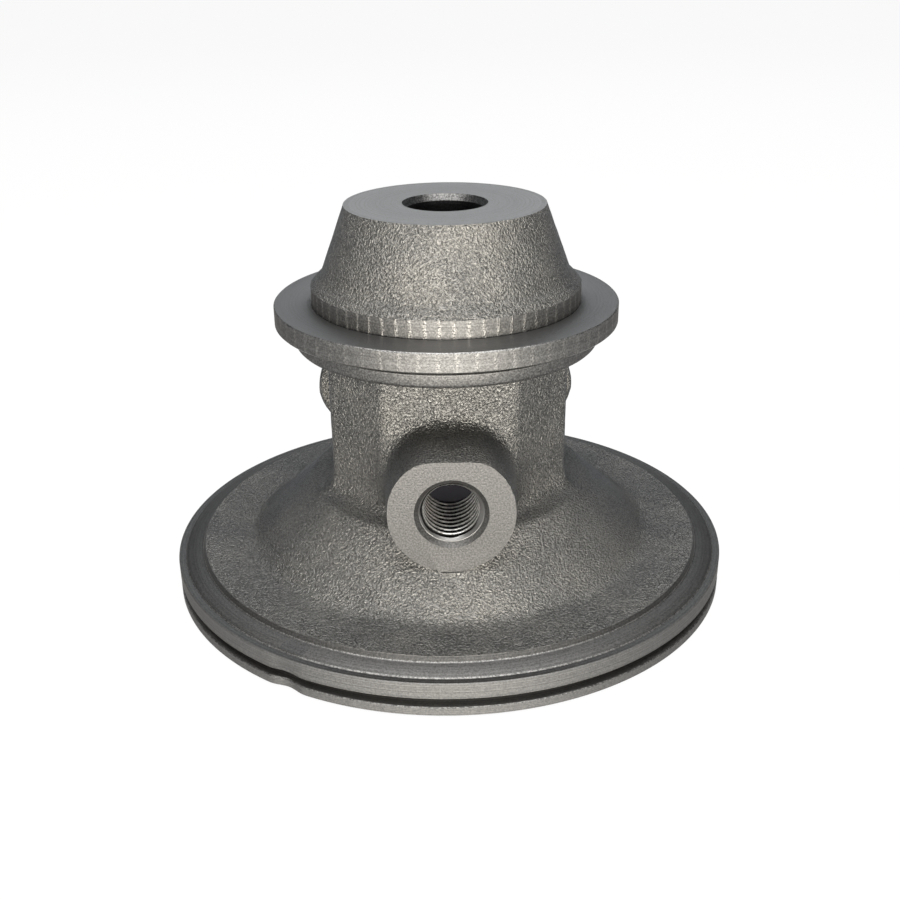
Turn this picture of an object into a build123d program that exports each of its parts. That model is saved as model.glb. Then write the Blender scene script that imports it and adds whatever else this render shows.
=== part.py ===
from build123d import *
import os
from math import cos, radians, sin, tan

# Turbocharger bearing housing with the bearing parts that it holds.
# Millimetres. Z is the rotor axis, with the turbine end up. Height 0 is the face of the
# compressor-side disc. The oil inlet faces -Y and the oil drain faces +Y.

# How far a cutting shape reaches past the face that it cuts
cut_margin = 1.0

# Compressor-side disc and its rim groove
disc_r = 57.0
lower_land_h = 1.85
rim_groove_w = 1.6
rim_groove_depth = 2.6
upper_land_h = 3.3
rim_ledge_w = 1.7
rim_ledge_step = 0.3
seat_w = 3.5
seat_rise = 0.55
plateau_step = 0.95
plateau_lip_w = 0.4
notch_r = 4.2
notch_depth = 1.4
notch_angle = -122.0

# Cast hub between disc and column
hub_foot_r = 41.2
hub_crest_r = 28.6
hub_slope = 43.0
hub_foot_blend = 9.0
hub_crest_blend = 1.5

# Eight-sided column
column_half_width = 23.3
column_half_depth = 20.0
column_front_flat = 25.3
column_edge_r = 1.8
column_foot_r = 5.0
column_foot_inset = 0.4

# Clamp flange, pilot and nose cone
band_face_z = 58.0
neck_ring_r = 30.05
neck_ring_h = 2.95
neck_ring_edge_r = 0.8
band_flange_r = 33.8
band_taper = 20.0
band_edge_h = 3.8
pilot_r = 26.9
pilot_h = 3.2
nose_foot_r = 25.2
nose_foot_h = 0.3
nose_foot_blend = 2.8
nose_top_r = 19.55
nose_h = 15.4
nose_edge_r = 0.4
seal_bore_r = 7.0
seal_bore_len = 8.6
seal_chamfer_r = 8.27
seal_chamfer_h = 2.0

# Oil inlet
inlet_z = 27.2
inlet_face_y = 34.0
inlet_boss_r = 11.85
inlet_boss_top = 10.4
inlet_shoulder_r = 4.0
inlet_draft = 3.0
inlet_thread_r = 6.0
inlet_thread_depth = 14.0
inlet_chamfer_r = 6.86
drill_point = 118.0

# Oil drain
drain_z = 29.0
drain_face_y = 34.0
drain_plate_t = 8.0
drain_pad_r = 13.4
drain_neck_r = 12.4
drain_port_r = 9.0
drain_bolt_spacing = 38.0
drain_ear_r = 10.0
drain_bolt_r = 3.4
drain_edge_r = 1.2

# Rotor sizes that the bearing parts are made for
shaft_bore_r = 4.0
stub_bore_r = 3.0

# Journal bearings, their housing bore and circlips
bush_r = 6.8
bush_clearance = 0.05
bush_len = 9.0
bush_chamfer = 0.5
bush_oil_hole_r = 1.0
bush_oil_holes = 4
circlip_t = 1.0
circlip_in_r = 5.5
circlip_groove_depth = 0.8
circlip_seat_gap = 0.05
circlip_side_gap = 0.05
circlip_end_gap = 0.1
circlip_opening = 70.0
bore_land = 1.4

# Bearing bosses and oil spaces inside the casting
compressor_boss_r = 11.0
turbine_boss_r = 10.5
drain_cavity_r = 16.5
upper_passage_r = 15.0
passage_floor = 3.5
passage_front_y = 3.0
web_t = 10.0
web_inner_y = 7.6
throw_chamber_h = 5.9
gallery_y = 13.5
gallery_r = 1.75
inlet_passage_r = 2.2
feed_hole_r = 1.2
turbine_feed_lean = 31.0

# Insert recess and thrust chamber in the compressor face
recess_r = 25.0
snap_groove_z = 1.2
snap_groove_w = 1.6
snap_groove_depth = 1.3
snap_ring_play = 0.05
snap_ring_width = 2.85
snap_ring_opening = 24.0
snap_hole_r = 0.9
snap_hole_inset = 5.0
chamber_step = 3.0
chamber_h = 5.5
chamber_drain_w = 18.0
chamber_drain_y = 11.5

# Oil seal insert
insert_play = 0.03
insert_setback = 0.4
insert_rim_h = 7.7
insert_boss_play = 1.8
insert_bore_r = 7.6
insert_hub_wall = 3.0
insert_hub_z = 7.4
insert_rim_wall = 3.8
insert_wall_lean = 1.8
insert_trough_z = 4.2
insert_trough_out_r = 1.2
insert_trough_in_r = 1.0
o_ring_groove_w = 2.8
o_ring_groove_depth = 2.35
o_ring_groove_z = 2.6
o_ring_wall_gap = 0.02

# Oil baffle
baffle_t = 1.0
baffle_lean = 0.4
baffle_play = 0.2
baffle_rim_w = 4.1
baffle_rib_rise = 1.3
baffle_rib_w = 2.7
baffle_well_slope = 2.3
baffle_well_drop = 0.6
baffle_hole_r = 7.2
baffle_tongue_w = 10.0
baffle_tongue_y = 13.2
baffle_tongue_h = 7.2
baffle_window_w = 8.0

# Thrust bearing and its dowels
thrust_plate_t = 4.0
thrust_plate_play = 0.2
thrust_hole_r = 5.2
thrust_pad_r = 9.0
thrust_pad_grooves = 6
thrust_groove_w = 1.2
thrust_groove_depth = 0.4
thrust_drain_w = 16.0
thrust_feed_depth = 2.4
thrust_drilling_r = 0.8
dowel_r = 1.5
dowel_play = 0.05
dowel_x = 14.0
dowel_y = 10.0
dowel_len = 8.0
dowel_inset = 1.0
dowel_chamfer = 0.3

# Rotating thrust parts
thrust_gap = 0.05
thrust_washer_t = 2.0
thrust_washer_r = 9.0
washer_pocket_play = 0.6
collar_neck_play = 0.2
collar_flange_t = 1.8
collar_flange_r = 8.8
edge_chamfer = 0.3

# Oil slinger and its ring seal
slinger_setback = 0.3
slinger_play = 0.15
slinger_sleeve_play = 0.3
slinger_flange_r = 10.0
slinger_flange_t = 1.8
slinger_flange_gap = 0.4
ring_t = 1.5
ring_side_gap = 0.05
ring_groove_z = 2.9
ring_groove_depth = 1.55
ring_root_gap = 0.2
ring_slot_w = 1.0
ring_wall_gap = 0.02

# Heights of the outside, from the disc's face up
rim_top = lower_land_h + rim_groove_w + upper_land_h
seat_z = rim_top + rim_ledge_step
lip_z = seat_z + seat_rise
plateau_z = lip_z + plateau_step
hub_crest_z = plateau_z + (hub_foot_r - hub_crest_r) * tan(radians(hub_slope))
band_taper_h = (band_flange_r - neck_ring_r) * tan(radians(band_taper))
neck_ring_top = band_face_z - band_edge_h - band_taper_h
neck_ring_z = neck_ring_top - neck_ring_h
pilot_top = band_face_z + pilot_h
total_h = pilot_top + nose_h

# Heights of the recess stack, from the disc's face up
insert_rim_z = snap_groove_z + snap_groove_w
insert_top = insert_rim_z + insert_rim_h
recess_depth = insert_top + baffle_t
thrust_face_z = recess_depth + chamber_h
thrust_plate_z = thrust_face_z - thrust_plate_t
washer_z = thrust_face_z + thrust_gap
washer_top = washer_z + thrust_washer_t
washer_pocket_top = washer_top + washer_pocket_play
collar_flange_top = thrust_plate_z - thrust_gap
collar_z = collar_flange_top - collar_flange_t
baffle_well_top = recess_depth - baffle_well_drop
baffle_well_z = baffle_well_top - baffle_t
slinger_flange_z = insert_hub_z + slinger_flange_gap

# Radii that follow the insert's recess
chamber_r = recess_r - chamber_step
snap_ring_out_r = recess_r + snap_groove_depth - snap_ring_play
insert_boss_r = snap_ring_out_r - snap_ring_width - insert_boss_play
insert_inner_r = recess_r - insert_rim_wall
insert_trough_r = insert_inner_r - insert_wall_lean
baffle_rim_r = recess_r - baffle_rim_w
baffle_rib_out_r = baffle_rim_r - baffle_rib_rise
baffle_rib_in_r = baffle_rib_out_r - baffle_rib_w
baffle_well_r = baffle_rib_in_r - baffle_well_slope

# Journal bearing places: the inlet feeds one, the nose end fixes the other
bore_r = bush_r + bush_clearance
circlip_groove_r = bore_r + circlip_groove_depth
circlip_groove_w = circlip_t + 2 * circlip_side_gap
circlip_reach = bush_len / 2 + circlip_end_gap
clip_offset = circlip_reach + circlip_groove_w / 2
boss_reach = circlip_reach + circlip_groove_w + bore_land
seal_floor_z = total_h - seal_chamfer_h - seal_bore_len
compressor_bush_z = inlet_z
turbine_bush_z = seal_floor_z - throw_chamber_h - boss_reach
compressor_boss_top = compressor_bush_z + boss_reach
turbine_boss_z = turbine_bush_z - boss_reach
turbine_boss_top = turbine_bush_z + boss_reach
passage_z = thrust_face_z + passage_floor
feed_drop = (gallery_y - bore_r) / tan(radians(turbine_feed_lean))
gallery_top_z = turbine_bush_z - feed_drop


def outline(points, rounds=None):
    """Face in radius and height from corners, some of them rounded."""
    radii = [0.0] * len(points)
    for index, radius in (rounds or {}).items():
        radii[index] = radius
    if rounds:
        return make_face(FilletPolyline(*points, radius=radii, close=True))
    return make_face(Polyline(*points, close=True))


def turned(points, rounds=None):
    """Solid of revolution about the rotor axis."""
    return revolve(Plane.XZ * outline(points, rounds), Axis.Z)


def tube(inner_r, outer_r, low, high):
    """Plain ring between two heights."""
    return turned([(inner_r, low), (outer_r, low), (outer_r, high), (inner_r, high)])


def rod(radius, low, high):
    """Cylinder on the rotor axis between two heights."""
    return Pos(0, 0, low) * Cylinder(radius, high - low, align=(Align.CENTER, Align.CENTER, Align.MIN))


def sector(opening, reach, low, high):
    """Wedge from the rotor axis towards +Y, for the gap in a split ring."""
    half_w = reach * tan(radians(opening / 2))
    plan = make_face(Polyline((0, 0), (half_w, reach), (-half_w, reach), close=True))
    return Pos(0, 0, low) * extrude(plan, high - low)


def rod_along_y(radius, height, near, far):
    """Cylinder along Y at a height, from one depth to another."""
    plane = Plane(origin=(0, near, height), x_dir=(1, 0, 0), z_dir=(0, 1, 0))
    return plane * Cylinder(radius, far - near, align=(Align.CENTER, Align.CENTER, Align.MIN))


def block(width, near, far, low, high):
    """Box centred on X, between two depths and two heights."""
    place = Pos(0, near, low)
    return place * Box(width, far - near, high - low, align=(Align.CENTER, Align.MIN, Align.MIN))


def drilled_hole(radius, height, mouth_y, depth):
    """Blind hole along +Y with a drill's cone at its end."""
    tip_h = radius / tan(radians(drill_point / 2))
    end_y = mouth_y + depth
    tip_plane = Plane(origin=(0, end_y, height), x_dir=(1, 0, 0), z_dir=(0, 1, 0))
    tip = tip_plane * Cone(radius, 0, tip_h, align=(Align.CENTER, Align.CENTER, Align.MIN))
    return rod_along_y(radius, height, mouth_y, end_y) + tip


def disc_and_hub():
    """Turned disc and the cast hub that rises from it."""
    return turned(
        [
            (0, 0),
            (disc_r, 0),
            (disc_r, rim_top),
            (disc_r - rim_ledge_w, rim_top),
            (disc_r - rim_ledge_w, seat_z),
            (disc_r - rim_ledge_w - seat_w, lip_z),
            (disc_r - rim_ledge_w - seat_w - plateau_lip_w, plateau_z),
            (hub_foot_r, plateau_z),
            (hub_crest_r, hub_crest_z),
            (0, hub_crest_z),
        ],
        {7: hub_foot_blend, 8: hub_crest_blend},
    )


def column():
    """Eight-sided column that flares into the hub."""
    half_flat = column_front_flat / 2
    corner_y = column_half_depth - (column_half_width - half_flat)
    quarter = [(column_half_width, corner_y), (half_flat, column_half_depth)]
    right = [(x, -y) for x, y in reversed(quarter)] + quarter
    left = [(-x, -y) for x, y in right]
    plan = make_face(FilletPolyline(*right, *left, radius=column_edge_r, close=True))
    low = plateau_z
    sides = Pos(0, 0, low) * extrude(plan, neck_ring_top - low)
    root_r = column_half_width - column_foot_inset
    top_z = hub_crest_z + column_foot_r
    flare_arc = ThreePointArc(
        (root_r + column_foot_r, hub_crest_z),
        (
            root_r + column_foot_r * (1 - cos(radians(45))),
            top_z - column_foot_r * sin(radians(45)),
        ),
        (root_r, top_z),
    )
    rest = Polyline((root_r, top_z), (0, top_z), (0, plateau_z), (root_r, plateau_z))
    closing = Polyline((root_r, plateau_z), (root_r + column_foot_r, hub_crest_z))
    flare = revolve(Plane.XZ * make_face([flare_arc, rest, closing]), Axis.Z)
    return sides + flare


def turbine_end():
    """Neck ring, clamp flange, pilot and nose cone, turned as one."""
    return turned(
        [
            (0, neck_ring_z),
            (neck_ring_r, neck_ring_z),
            (neck_ring_r, neck_ring_top),
            (band_flange_r, band_face_z - band_edge_h),
            (band_flange_r, band_face_z),
            (pilot_r, band_face_z),
            (pilot_r, pilot_top),
            (nose_foot_r, pilot_top + nose_foot_h),
            (nose_top_r, total_h),
            (0, total_h),
        ],
        {1: neck_ring_edge_r, 7: nose_foot_blend, 8: nose_edge_r},
    )


def inlet_boss():
    """Round cast boss with draft and a flat on top, reaching into the column."""
    cap = Pos(0, inlet_boss_top + inlet_boss_r) * Rectangle(2 * inlet_boss_r, 2 * inlet_boss_r)
    plan = Circle(inlet_boss_r) - cap
    plan = fillet(plan.vertices().group_by(Axis.Y)[-1], inlet_shoulder_r)
    face = Plane(origin=(0, -inlet_face_y, inlet_z), x_dir=(1, 0, 0), z_dir=(0, -1, 0))
    return extrude(face * plan, -(inlet_face_y - gallery_y), taper=-inlet_draft)


def drain_flange():
    """Two-eared drain flange and the round neck that carries it."""
    near = drain_face_y - drain_plate_t
    face = Plane(origin=(0, near, drain_z), x_dir=(1, 0, 0), z_dir=(0, 1, 0))
    half = drain_bolt_spacing / 2
    ears = [Pos(side * half, 0) * Circle(drain_ear_r) for side in (-1, 1)]
    rounds = Circle(drain_pad_r).edges() + ears[0].edges() + ears[1].edges()
    plate = extrude(face * make_hull(rounds), drain_plate_t)
    plate = fillet(plate.edges().group_by(Axis.Y)[0], drain_edge_r)
    return plate + rod_along_y(drain_neck_r, drain_z, 0, near + drain_plate_t / 2)


def oil_cavity():
    """Cast space around the two bearing bosses, open to the drain."""
    central = rod(drain_cavity_r, compressor_boss_top, turbine_boss_z)
    reach = drain_cavity_r + cut_margin
    web = block(web_t, -reach, -web_inner_y, passage_z, turbine_boss_top)
    lower = tube(compressor_boss_r, drain_cavity_r, passage_z, compressor_boss_top)
    lower &= block(2 * reach, passage_front_y, reach, passage_z, compressor_boss_top)
    upper = tube(turbine_boss_r, upper_passage_r, turbine_boss_z, turbine_boss_top)
    upper &= block(2 * reach, passage_front_y, reach, turbine_boss_z, turbine_boss_top)
    throw_chamber = rod(upper_passage_r, turbine_boss_top, seal_floor_z)
    port = rod_along_y(drain_port_r, drain_z, passage_front_y, drain_face_y)
    port -= rod(compressor_boss_r, 0, compressor_boss_top)
    return (central - web) + lower + upper + throw_chamber + port


def oil_galleries():
    """Drillings from the inlet to both bushes and the thrust bearing."""
    inlet_end = inlet_thread_depth - inlet_face_y
    inlet = rod_along_y(inlet_passage_r, inlet_z, inlet_end, -gallery_y)
    feed = rod_along_y(feed_hole_r, inlet_z, -gallery_y, -bore_r / 2)
    axial = Pos(0, -gallery_y, 0) * rod(gallery_r, thrust_face_z, gallery_top_z + gallery_r)
    lean = radians(turbine_feed_lean)
    start = (0, -gallery_y, gallery_top_z)
    slant = Plane(origin=start, x_dir=(1, 0, 0), z_dir=(0, sin(lean), cos(lean)))
    reach = (gallery_y - bore_r / 2) / sin(lean)
    turbine_feed = slant * Cylinder(feed_hole_r, reach, align=(Align.CENTER, Align.CENTER, Align.MIN))
    return inlet + feed + axial + turbine_feed


def rotor_bores():
    """Everything bored on the rotor axis, from the recess to the nose."""
    recess = rod(recess_r, 0, recess_depth)
    snap_groove = rod(recess_r + snap_groove_depth, snap_groove_z, insert_rim_z)
    chamber = rod(chamber_r, recess_depth, thrust_face_z)
    drain_top = passage_z + cut_margin
    chamber_drain = block(chamber_drain_w, chamber_drain_y, drain_cavity_r, thrust_face_z, drain_top)
    pocket = rod(thrust_washer_r + washer_pocket_play, thrust_face_z, washer_pocket_top)
    bore = rod(bore_r, thrust_face_z, turbine_boss_top)
    grooves = Part()
    for bush_z in (compressor_bush_z, turbine_bush_z):
        for side in (-1, 1):
            middle = bush_z + side * clip_offset
            low = middle - circlip_groove_w / 2
            grooves += rod(circlip_groove_r, low, low + circlip_groove_w)
    seal = rod(seal_bore_r, turbine_boss_top, total_h)
    mouth = turned(
        [
            (0, total_h - seal_chamfer_h),
            (seal_bore_r, total_h - seal_chamfer_h),
            (seal_chamfer_r, total_h),
            (0, total_h),
        ]
    )
    return recess + snap_groove + chamber + chamber_drain + pocket + bore + grooves + seal + mouth


def rim_cuts():
    """Seal groove round the rim and the locating notch."""
    groove_low = lower_land_h
    groove_high = groove_low + rim_groove_w
    groove = tube(disc_r - rim_groove_depth, disc_r + cut_margin, groove_low, groove_high)
    angle = radians(notch_angle)
    reach = disc_r - notch_depth + notch_r
    notch = Pos(reach * cos(angle), reach * sin(angle), 0) * rod(notch_r, 0, rim_top)
    return groove + notch


def inlet_cuts():
    """Oil inlet hole at its thread's outer size, with a chamfered mouth."""
    hole = drilled_hole(inlet_thread_r, inlet_z, -inlet_face_y, inlet_thread_depth)
    chamfer_h = inlet_chamfer_r - inlet_thread_r
    mouth_plane = Plane(origin=(0, -inlet_face_y, inlet_z), x_dir=(1, 0, 0), z_dir=(0, 1, 0))
    cone = Cone(inlet_chamfer_r, inlet_thread_r, chamfer_h, align=(Align.CENTER, Align.CENTER, Align.MIN))
    return hole + mouth_plane * cone


def drain_bolt_holes():
    """Two bolt holes through the ears of the drain flange."""
    near = drain_face_y - drain_plate_t
    holes = Part()
    for side in (-1, 1):
        hole = rod_along_y(drain_bolt_r, drain_z, near, drain_face_y)
        holes += Pos(side * drain_bolt_spacing / 2, 0, 0) * hole
    return holes


def dowel_places():
    """Centres of the two thrust bearing dowels."""
    return [Pos(side * dowel_x, -dowel_y, 0) for side in (-1, 1)]


def bearing_housing():
    """The whole casting, machined."""
    casting = disc_and_hub() + column() + turbine_end() + drain_flange()
    casting += inlet_boss()
    casting -= oil_cavity()
    casting -= rotor_bores()
    casting -= oil_galleries()
    casting -= rim_cuts()
    casting -= inlet_cuts()
    casting -= drain_bolt_holes()
    dowel_top = thrust_plate_z + dowel_inset + dowel_len
    for place in dowel_places():
        casting -= place * rod(dowel_r, thrust_face_z, dowel_top)
    return casting


def journal_bearing(middle):
    """Floating bush with chamfered ends and radial oil holes."""
    low = middle - bush_len / 2
    high = middle + bush_len / 2
    inner = shaft_bore_r
    cut = bush_chamfer
    bush = turned(
        [
            (inner + cut, low),
            (bush_r - cut, low),
            (bush_r, low + cut),
            (bush_r, high - cut),
            (bush_r - cut, high),
            (inner + cut, high),
            (inner, high - cut),
            (inner, low + cut),
        ]
    )
    for index in range(bush_oil_holes):
        turn = Rot(0, 0, 360 / bush_oil_holes * (index + 0.5))
        bush -= turn * rod_along_y(bush_oil_hole_r, middle, 0, bush_r + cut_margin)
    return bush


def circlip(middle):
    """Open ring that sits in a groove of the bore."""
    low = middle - circlip_t / 2
    high = middle + circlip_t / 2
    outer_r = circlip_groove_r - circlip_seat_gap
    ring = tube(circlip_in_r, outer_r, low, high)
    return ring - sector(circlip_opening, outer_r + cut_margin, low, high)


def insert_retaining_ring():
    """Internal snap ring with a gap and two plier holes."""
    low = snap_groove_z + snap_ring_play
    high = insert_rim_z - snap_ring_play
    outer_r = snap_ring_out_r
    ring = tube(outer_r - snap_ring_width, outer_r, low, high)
    ring -= Rot(0, 0, 180) * sector(snap_ring_opening, outer_r + cut_margin, low, high)
    hole_angle = snap_ring_opening / 2 + snap_hole_inset
    for side in (-1, 1):
        place = Rot(0, 0, side * hole_angle) * Pos(0, snap_ring_width / 2 - outer_r, 0)
        ring -= place * rod(snap_hole_r, low, high)
    return ring


def oil_seal_insert():
    """Plate that closes the compressor side around the slinger."""
    outer_r = recess_r - insert_play
    groove_r = outer_r - o_ring_groove_depth
    groove_z = insert_rim_z + o_ring_groove_z
    hub_r = insert_bore_r + insert_hub_wall
    return turned(
        [
            (insert_bore_r, insert_setback),
            (insert_boss_r, insert_setback),
            (insert_boss_r, insert_rim_z),
            (outer_r, insert_rim_z),
            (outer_r, groove_z),
            (groove_r, groove_z),
            (groove_r, groove_z + o_ring_groove_w),
            (outer_r, groove_z + o_ring_groove_w),
            (outer_r, insert_top),
            (insert_inner_r, insert_top),
            (insert_trough_r, insert_trough_z),
            (hub_r, insert_trough_z),
            (hub_r, insert_hub_z),
            (insert_bore_r, insert_hub_z),
        ],
        {10: insert_trough_out_r, 11: insert_trough_in_r},
    )


def insert_o_ring():
    """Rubber ring that fills the depth between groove floor and recess wall."""
    room = insert_play + o_ring_groove_depth
    middle_z = insert_rim_z + o_ring_groove_z + o_ring_groove_w / 2
    section = Plane.XZ * Pos(recess_r - room / 2, middle_z) * Circle(room / 2 - o_ring_wall_gap)
    return revolve(section, Axis.Z)


def oil_baffle():
    """Pressed sheet guard with a rib that holds the thrust bearing."""
    rim_z = insert_top
    rib_top = thrust_plate_z
    rib_floor = rib_top - baffle_t
    sheet = turned(
        [
            (recess_r - baffle_play, recess_depth),
            (baffle_rim_r, recess_depth),
            (baffle_rib_out_r, rib_top),
            (baffle_rib_in_r, rib_top),
            (baffle_well_r, baffle_well_top),
            (baffle_hole_r, baffle_well_top),
            (baffle_hole_r, baffle_well_z),
            (baffle_well_r + baffle_lean, baffle_well_z),
            (baffle_rib_in_r + baffle_lean, rib_floor),
            (baffle_rib_out_r - baffle_lean, rib_floor),
            (baffle_rim_r - baffle_lean, rim_z),
            (recess_r - baffle_play, rim_z),
        ]
    )
    window_far = baffle_rib_out_r
    window_near = baffle_tongue_y + baffle_t
    sheet -= block(baffle_window_w, window_near, window_far, 0, thrust_face_z)
    tongue = block(
        baffle_tongue_w,
        baffle_tongue_y,
        baffle_tongue_y + baffle_t,
        baffle_well_z,
        baffle_well_z + baffle_tongue_h,
    )
    return sheet + tongue


def thrust_bearing():
    """Plate with pads on both faces, an oil drilling and a drain gap."""
    plate = tube(thrust_hole_r, chamber_r - thrust_plate_play, thrust_plate_z, thrust_face_z)
    plate -= block(thrust_drain_w, chamber_drain_y, chamber_r, thrust_plate_z, thrust_face_z)
    middle_z = (thrust_plate_z + thrust_face_z) / 2
    for index in range(thrust_pad_grooves):
        turn = Rot(0, 0, 360 / thrust_pad_grooves * index)
        for low in (thrust_plate_z, thrust_face_z - thrust_groove_depth):
            high = low + thrust_groove_depth
            plate -= turn * block(thrust_groove_w, 0, thrust_pad_r, low, high)
    feed_low = thrust_face_z - thrust_feed_depth
    plate -= Pos(0, -gallery_y, 0) * rod(gallery_r, feed_low, thrust_face_z)
    plate -= rod_along_y(thrust_drilling_r, middle_z, -gallery_y, -thrust_hole_r / 2)
    for place in dowel_places():
        plate -= place * rod(dowel_r + dowel_play, thrust_plate_z, thrust_face_z)
    return plate


def thrust_bearing_dowels():
    """Two straight pins, pressed into the housing."""
    low = thrust_plate_z + dowel_inset
    high = low + dowel_len
    cut = dowel_chamfer
    pin = turned(
        [
            (0, low),
            (dowel_r - cut, low),
            (dowel_r, low + cut),
            (dowel_r, high - cut),
            (dowel_r - cut, high),
            (0, high),
        ]
    )
    return Compound(children=[place * pin for place in dowel_places()])


def inner_thrust_washer():
    """Hard washer between shaft shoulder and thrust bearing."""
    cut = edge_chamfer
    return turned(
        [
            (stub_bore_r, washer_z),
            (thrust_washer_r - cut, washer_z),
            (thrust_washer_r, washer_z + cut),
            (thrust_washer_r, washer_top - cut),
            (thrust_washer_r - cut, washer_top),
            (stub_bore_r, washer_top),
        ]
    )


def thrust_collar():
    """Collar whose neck sets the thrust bearing's running gap."""
    cut = edge_chamfer
    neck_r = thrust_hole_r - collar_neck_play
    return turned(
        [
            (stub_bore_r, collar_z),
            (collar_flange_r - cut, collar_z),
            (collar_flange_r, collar_z + cut),
            (collar_flange_r, collar_flange_top),
            (neck_r, collar_flange_top),
            (neck_r, washer_z),
            (stub_bore_r, washer_z),
        ]
    )


def oil_slinger():
    """Sleeve with a throwing flange and a groove for the ring seal."""
    hub_r = insert_bore_r - slinger_play
    sleeve_r = baffle_hole_r - slinger_sleeve_play
    groove_low = insert_setback + ring_groove_z
    groove_high = groove_low + ring_t + 2 * ring_side_gap
    flange_top = slinger_flange_z + slinger_flange_t
    cut = edge_chamfer
    return turned(
        [
            (stub_bore_r, slinger_setback),
            (hub_r - cut, slinger_setback),
            (hub_r, slinger_setback + cut),
            (hub_r, groove_low),
            (hub_r - ring_groove_depth, groove_low),
            (hub_r - ring_groove_depth, groove_high),
            (hub_r, groove_high),
            (hub_r, slinger_flange_z),
            (slinger_flange_r, slinger_flange_z),
            (slinger_flange_r, flange_top),
            (sleeve_r, flange_top),
            (sleeve_r, collar_z),
            (stub_bore_r, collar_z),
        ]
    )


def slinger_ring_seal():
    """Split ring that springs against the insert's bore."""
    low = insert_setback + ring_groove_z + ring_side_gap
    inner_r = insert_bore_r - slinger_play - ring_groove_depth + ring_root_gap
    ring = tube(inner_r, insert_bore_r - ring_wall_gap, low, low + ring_t)
    slot = Rot(0, 0, 180) * block(ring_slot_w, 0, insert_bore_r + cut_margin, low, low + ring_t)
    return ring - slot


PIECES = {
    "bearing_housing": bearing_housing(),
    "turbine_journal_bearing": journal_bearing(turbine_bush_z),
    "compressor_journal_bearing": journal_bearing(compressor_bush_z),
    "turbine_outer_circlip": circlip(turbine_bush_z + clip_offset),
    "turbine_inner_circlip": circlip(turbine_bush_z - clip_offset),
    "compressor_inner_circlip": circlip(compressor_bush_z + clip_offset),
    "compressor_outer_circlip": circlip(compressor_bush_z - clip_offset),
    "thrust_bearing": thrust_bearing(),
    "thrust_bearing_dowels": thrust_bearing_dowels(),
    "inner_thrust_washer": inner_thrust_washer(),
    "thrust_collar": thrust_collar(),
    "oil_slinger": oil_slinger(),
    "slinger_ring_seal": slinger_ring_seal(),
    "oil_baffle": oil_baffle(),
    "oil_seal_insert": oil_seal_insert(),
    "insert_o_ring": insert_o_ring(),
    "insert_retaining_ring": insert_retaining_ring(),
}

os.makedirs("parts", exist_ok=True)
for name, piece in PIECES.items():
    export_step(piece, f"parts/{name}.step")
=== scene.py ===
"""Turbo bearing housing: cast skin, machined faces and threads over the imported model.

Sizes are in millimetres and meshes are scaled to metres when they are finished.
"""
import math

import bmesh
import bpy
from mathutils import Matrix, Vector


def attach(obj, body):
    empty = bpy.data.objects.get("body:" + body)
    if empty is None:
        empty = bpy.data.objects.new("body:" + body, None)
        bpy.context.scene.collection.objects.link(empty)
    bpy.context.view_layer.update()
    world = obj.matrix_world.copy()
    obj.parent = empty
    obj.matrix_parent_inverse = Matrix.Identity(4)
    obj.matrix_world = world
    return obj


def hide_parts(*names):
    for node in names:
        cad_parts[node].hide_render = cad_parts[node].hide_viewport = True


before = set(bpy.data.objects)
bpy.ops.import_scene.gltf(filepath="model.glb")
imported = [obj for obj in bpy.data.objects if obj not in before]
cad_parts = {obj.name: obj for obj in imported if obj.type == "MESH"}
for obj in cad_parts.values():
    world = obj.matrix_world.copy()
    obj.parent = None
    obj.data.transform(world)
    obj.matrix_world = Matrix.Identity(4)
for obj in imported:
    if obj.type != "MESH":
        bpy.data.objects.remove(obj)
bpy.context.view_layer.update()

MM = 0.001
HOUSING = "bearing_housing"

# Outside of the casting
PLATEAU_R = 51.4
PLATEAU_Z = 8.55
HUB_FOOT_R = 41.2
HUB_CREST_Z = 20.3
HUB_SLOPE = math.radians(43.0)
COLUMN_HALF_W = 23.3
COLUMN_HALF_D = 20.0
COLUMN_CORNER = 32.65
NECK_RING_R = 28.6
NECK_RING_Z = 50.3
NECK_RING_TOP = 53.6
NOSE_FOOT_R = 25.2
NOSE_TOP_R = 19.55
NOSE_BASE_Z = 51.0
PILOT_TOP = 61.2
PILOT_R = 26.45
SHOULDER_R = 28.0
SHOULDER_TOP = 63.0
SHOULDER_LEAN = math.radians(40.0)
TOTAL_H = 76.6

# Box and grid of the cast skin, and its slight waviness
CASTING_LOW = (-54.0, -54.0, 4.0)
CASTING_HIGH = (54.0, 54.0, 78.0)
CASTING_GRID = 0.68
RELIEF_HEIGHT = 0.22
RELIEF_PER_MM = 0.35

# Rounding where two cast surfaces meet
HUB_CREST_BLEND = 0.62
HUB_FOOT_BLEND = 2.0
COLUMN_EDGE_BLEND = 0.82
COLUMN_FOOT_BLEND = 6.5
BOSS_EDGE_BLEND = 2.2
BOSS_FOOT_BLEND = 4.8
BOSS_BLEND_RISE = 0.7
DRAIN_EDGE_BLEND = 2.1
DRAIN_NECK_BLEND = 3.0
DRAIN_FOOT_BLEND = 3.0
NECK_EDGE_BLEND = 1.4
NECK_FOOT_BLEND = 1.6
SHOULDER_EDGE_BLEND = 1.0
NOSE_FOOT_BLEND = 1.2
CAVITY_BLEND = 1.0

# Iron that the machining takes off the cast skin
FACING_ALLOWANCE = 0.5
CROWN_ALLOWANCE = 0.3
PILOT_ALLOWANCE = 0.1

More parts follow.
